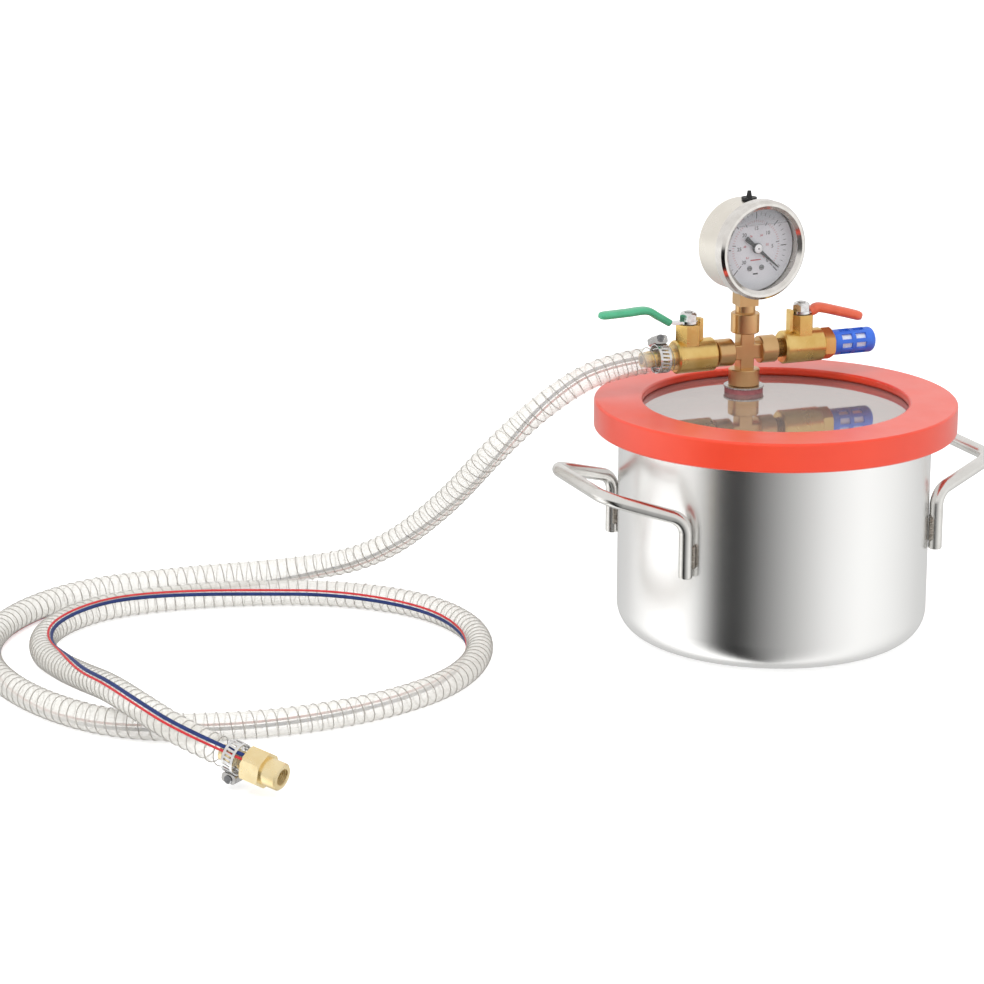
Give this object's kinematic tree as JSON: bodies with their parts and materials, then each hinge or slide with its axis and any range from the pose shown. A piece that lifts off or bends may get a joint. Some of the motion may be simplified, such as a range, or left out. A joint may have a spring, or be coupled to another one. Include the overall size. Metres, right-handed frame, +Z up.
{
  "type": "vacuum chamber",
  "caption": "Vacuum degassing chamber: steel pot, clear lid in a silicone ring, cross manifold with a dial gauge, a suction valve with hose and a vent valve with muffler.",
  "frame": {"origin": "centre of the underside of the pot's base, on the surface it stands on", "axes": "+X along the pipe run from the hose side to the muffler side and through both handles, +Y away from the dial to the back, +Z up"},
  "size_m": [0.5923, 0.3743, 0.2574],
  "materials": {
    "pot_steel": "polished",
    "rod_steel": "polished",
    "silicone": "matte",
    "lid_clear": "polished",
    "grey_rubber": "matte",
    "washer_steel": "satin",
    "brass": "satin",
    "ball_chrome": "polished",
    "ptfe": "matte",
    "lever_steel": "polished",
    "green_vinyl": "satin",
    "red_vinyl": "satin",
    "hose_pvc": "clear",
    "clamp_steel": "polished",
    "blue_plastic": "satin",
    "filter": "matte",
    "gauge_steel": "satin",
    "bezel_steel": "polished",
    "gauge_glass": "polished",
    "dial_white": "matte",
    "pointer_black": "matte",
    "black_rubber": "matte"
  },
  "bodies": {
    "chamber": {"bulkhead_nipple": "brass", "cross": "brass", "end_clamp_band": "clamp_steel", "end_clamp_housing": "clamp_steel", "end_clamp_screw": "clamp_steel", "end_coupler": "brass", "gasket_ring": "silicone", "gauge_bezel": "bezel_steel", "gauge_bourdon": "brass", "gauge_case": "gauge_steel", "gauge_dial": "dial_white", "gauge_dial_screws": "washer_steel", "gauge_movement": "brass", "gauge_plug": "black_rubber", "gauge_socket": "brass", "gauge_window": "gauge_glass", "handle_left": "rod_steel", "handle_right": "rod_steel", "hose": "hose_pvc", "hose_barb": "brass", "lid": "lid_clear", "lid_nut": "brass", "muffler": "blue_plastic", "muffler_element": "filter", "nipple_left": "brass", "nipple_right": "brass", "plate_washer_bottom": "washer_steel", "plate_washer_top": "washer_steel", "pot": "pot_steel", "rubber_washer_bottom": "grey_rubber", "rubber_washer_top": "grey_rubber", "suction_packing": "ptfe", "suction_seats": "ptfe", "suction_valve_body": "brass", "valve_clamp_band": "clamp_steel", "valve_clamp_housing": "clamp_steel", "valve_clamp_screw": "clamp_steel", "vent_packing": "ptfe", "vent_seats": "ptfe", "vent_valve_body": "brass"},
    "suction_handle": {"suction_lever": "lever_steel", "suction_grip": "green_vinyl", "suction_lever_nut": "lever_steel", "suction_stem": "brass", "suction_ball": "ball_chrome"},
    "vent_handle": {"vent_lever": "lever_steel", "vent_grip": "red_vinyl", "vent_lever_nut": "lever_steel", "vent_stem": "brass", "vent_ball": "ball_chrome"},
    "pointer": {"gauge_pointer": "pointer_black"}
  },
  "joints": [
    {"name": "suction_valve_turn", "type": "hinge", "parent": "chamber", "child": "suction_handle", "pos_m": [-0.0373, 0.042, 0.1606], "axis": [0, 0, 1], "range_deg": [0, 90]},
    {"name": "vent_valve_turn", "type": "hinge", "parent": "chamber", "child": "vent_handle", "pos_m": [0.0373, 0.042, 0.1606], "axis": [0, 0, 1], "range_deg": [-90, 0]},
    {"name": "pointer_turn", "type": "hinge", "parent": "chamber", "child": "pointer", "pos_m": [0, 0.042, 0.2246], "axis": [0.1219, -0.9925, 0], "range_deg": [0, 260]}
  ]
}
